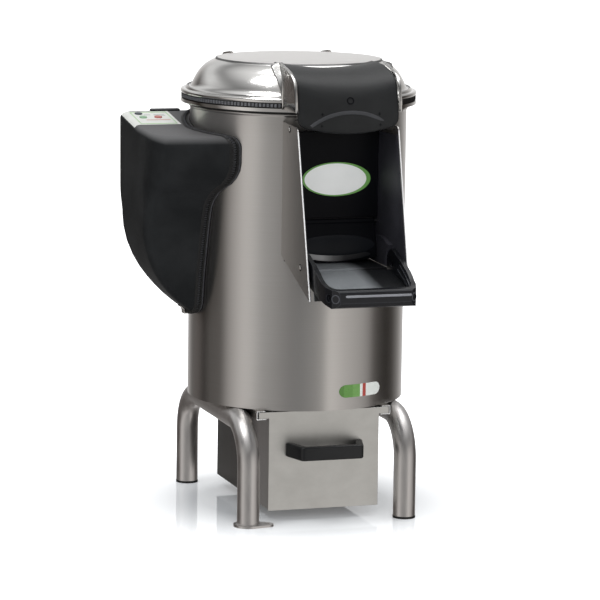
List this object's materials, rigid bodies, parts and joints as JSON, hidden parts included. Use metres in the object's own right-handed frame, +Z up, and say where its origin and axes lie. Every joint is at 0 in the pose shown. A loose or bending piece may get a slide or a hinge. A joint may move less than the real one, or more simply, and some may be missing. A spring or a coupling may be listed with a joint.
{
  "type": "electric potato peeler",
  "caption": "Floor-standing electric potato peeler: steel drum on tube legs, hinged lid with hood, discharge flap, pull-down tray, side control casing and filter drawer.",
  "frame": {"origin": "the drum's vertical axis where it meets the floor", "axes": "+Z up, -Y out of the discharge chute at the front, +X to the right seen from the front; the control casing is on -X"},
  "size_m": [0.513, 0.708, 0.819],
  "materials": {
    "drum_steel": "satin brushed stainless steel",
    "sheet_steel": "brushed stainless sheet",
    "tube_steel": "satin stainless tube",
    "lid_steel": "polished stainless steel",
    "hardware": "bright fastener steel",
    "black_moulding": "black moulded plastic",
    "hood_moulding": "dark grey grained plastic",
    "panel_lining": "near-black lining",
    "rubber_black": "black rubber",
    "label_pale": "pale printed plastic",
    "label_green": "green printed film",
    "abrasive": "coarse abrasive grit",
    "cast_aluminium": "cast aluminium",
    "motor_paint": "painted motor case",
    "circuit": "circuit board",
    "pipe_grey": "grey plastic pipe",
    "key_green": "green push key",
    "key_red": "red push key",
    "key_grey": "grey push key"
  },
  "bodies": {
    "frame": {"drum_shell": "drum_steel", "drum_base": "sheet_steel", "drive_deck": "sheet_steel", "chamber_floor": "sheet_steel", "abrasive_liner": "abrasive", "leg_frame_left": "tube_steel", "leg_frame_right": "tube_steel", "leg_caps": "rubber_black", "foot_plate": "tube_steel", "drawer_rails": "sheet_steel", "chute_side_left": "sheet_steel", "chute_side_right": "sheet_steel", "chute_cheeks": "black_moulding", "chute_back_panel": "panel_lining", "chute_floor": "sheet_steel", "chute_screws": "hardware", "oval_plate": "label_pale", "flap_pin": "hardware", "tray_pivots": "hardware", "waste_duct": "pipe_grey", "bearing_housing": "cast_aluminium", "shaft_bearings": "hardware", "shaft_seal": "rubber_black", "motor_body": "motor_paint", "drive_belt": "rubber_black", "water_valve": "pipe_grey", "casing_cover": "black_moulding", "casing_gasket": "rubber_black", "casing_fixings": "hardware", "control_label": "label_pale", "control_board": "circuit", "contactor": "pipe_grey", "cable_gland": "black_moulding", "hinge_bracket": "sheet_steel", "hinge_pin": "hardware", "pill_sticker": "label_green"},
    "lid": {"lid_dome": "lid_steel", "lid_band": "rubber_black", "lid_gasket": "rubber_black", "hood_side_left": "sheet_steel", "hood_side_right": "sheet_steel", "hood_cover": "hood_moulding", "hood_rivets": "hardware", "lid_hinge_arms": "sheet_steel"},
    "flap": {"discharge_flap": "black_moulding"},
    "tray": {"tray_frame": "black_moulding", "tray_floor": "sheet_steel"},
    "drawer": {"drawer_box": "sheet_steel", "drawer_front": "sheet_steel", "drawer_handle": "black_moulding", "filter_basket": "sheet_steel", "drain_pipe": "pipe_grey"},
    "rotor": {"abrasive_plate": "abrasive", "drive_shaft": "hardware", "plate_pulley": "cast_aluminium"},
    "motor_rotor": {"motor_shaft": "hardware", "motor_pulley": "cast_aluminium"},
    "start_key": {"start_button": "key_green"},
    "stop_key": {"stop_button": "key_red"},
    "timer_key": {"timer_button": "key_grey"}
  },
  "joints": [
    {"name": "lid_hinge", "type": "hinge", "parent": "frame", "child": "lid", "pos_m": [0, 0.232, 0.745], "axis": [-1, 0, 0], "range_deg": [0, 80]},
    {"name": "flap_hinge", "type": "hinge", "parent": "frame", "child": "flap", "pos_m": [0, -0.212, 0.54], "axis": [-1, 0, 0], "range_deg": [0, 65]},
    {"name": "tray_hinge", "type": "hinge", "parent": "frame", "child": "tray", "pos_m": [0, -0.307, 0.475], "axis": [-1, 0, 0], "range_deg": [0, 65]},
    {"name": "drawer_slide", "type": "slide", "parent": "frame", "child": "drawer", "axis": [0, -1, 0], "range_m": [0, 0.3]},
    {"name": "plate_spin", "type": "hinge", "parent": "frame", "child": "rotor", "pos_m": [0, 0, 0.45], "axis": [0, 0, 1], "continuous": true},
    {"name": "motor_spin", "type": "hinge", "parent": "frame", "child": "motor_rotor", "pos_m": [0.08485, 0.08485, 0.25], "axis": [0, 0, 1], "continuous": true},
    {"name": "start_press", "type": "slide", "parent": "frame", "child": "start_key", "axis": [0, 0.1532, -0.9882], "range_m": [0, 0.001], "stiffness_N_per_m": 800},
    {"name": "stop_press", "type": "slide", "parent": "frame", "child": "stop_key", "axis": [0, 0.1532, -0.9882], "range_m": [0, 0.001], "stiffness_N_per_m": 800},
    {"name": "timer_press", "type": "slide", "parent": "frame", "child": "timer_key", "axis": [0, 0.1532, -0.9882], "range_m": [0, 0.001], "stiffness_N_per_m": 800}
  ],
  "couplings": [
    {"joint": "motor_spin", "follows": "plate_spin", "ratio": 4.4444}
  ]
}
